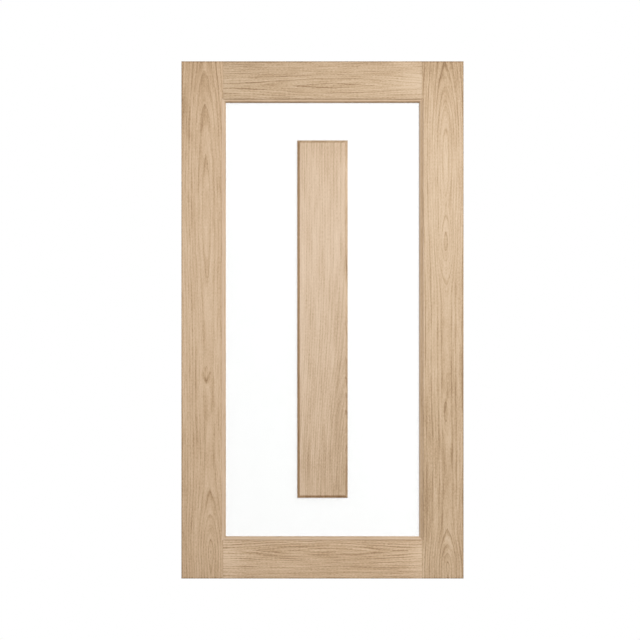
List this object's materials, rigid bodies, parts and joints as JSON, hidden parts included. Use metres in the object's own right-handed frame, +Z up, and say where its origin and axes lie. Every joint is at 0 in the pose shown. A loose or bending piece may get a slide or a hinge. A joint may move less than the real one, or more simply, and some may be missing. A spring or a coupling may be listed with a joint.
{
  "type": "glazed entrance door leaf",
  "caption": "Flat oak entrance door leaf with one large satin glass opening, an ovolo moulding round it and a tall narrow oak board in the middle of the glass.",
  "frame": {"origin": "foot of the hinge edge, at mid-thickness", "axes": "+X from the hinge edge to the lock edge, +Y from outside to inside, +Z up"},
  "size_m": [1.2, 0.044, 2.2],
  "materials": {
    "oak_facing": "raw planed oak, matt",
    "oak_solid": "raw planed oak, matt",
    "oak_board": "raw planed oak, matt",
    "core_wood": "glued softwood strips, sawn ends",
    "satin_glass": "white satin, acid etched",
    "spacer_bar": "mill finish, satin",
    "glazing_tape": "off-white foam tape, matt",
    "glazing_block": "grey moulded plastic, matt"
  },
  "bodies": {
    "root": {"hinge_stile_core": "core_wood", "lock_stile_core": "core_wood", "top_rail_core": "core_wood", "bottom_rail_core": "core_wood", "hinge_stile_lipping": "oak_solid", "lock_stile_lipping": "oak_solid", "top_rail_lipping": "oak_solid", "bottom_rail_lipping": "oak_solid", "hinge_stile_moulding": "oak_solid", "lock_stile_moulding": "oak_solid", "top_rail_moulding": "oak_solid", "bottom_rail_moulding": "oak_solid", "hinge_stile_front_facing": "oak_facing", "lock_stile_front_facing": "oak_facing", "top_rail_front_facing": "oak_facing", "bottom_rail_front_facing": "oak_facing", "hinge_stile_back_facing": "oak_facing", "lock_stile_back_facing": "oak_facing", "top_rail_back_facing": "oak_facing", "bottom_rail_back_facing": "oak_facing", "hinge_side_bead": "oak_solid", "lock_side_bead": "oak_solid", "top_bead": "oak_solid", "bottom_bead": "oak_solid", "outer_pane": "satin_glass", "inner_pane": "satin_glass", "hinge_side_spacer": "spacer_bar", "lock_side_spacer": "spacer_bar", "top_spacer": "spacer_bar", "bottom_spacer": "spacer_bar", "outer_glazing_tape": "glazing_tape", "inner_glazing_tape": "glazing_tape", "glazing_blocks": "glazing_block", "front_board_tape": "glazing_tape", "back_board_tape": "glazing_tape", "front_board": "oak_board", "back_board": "oak_board"}
  },
  "joints": []
}
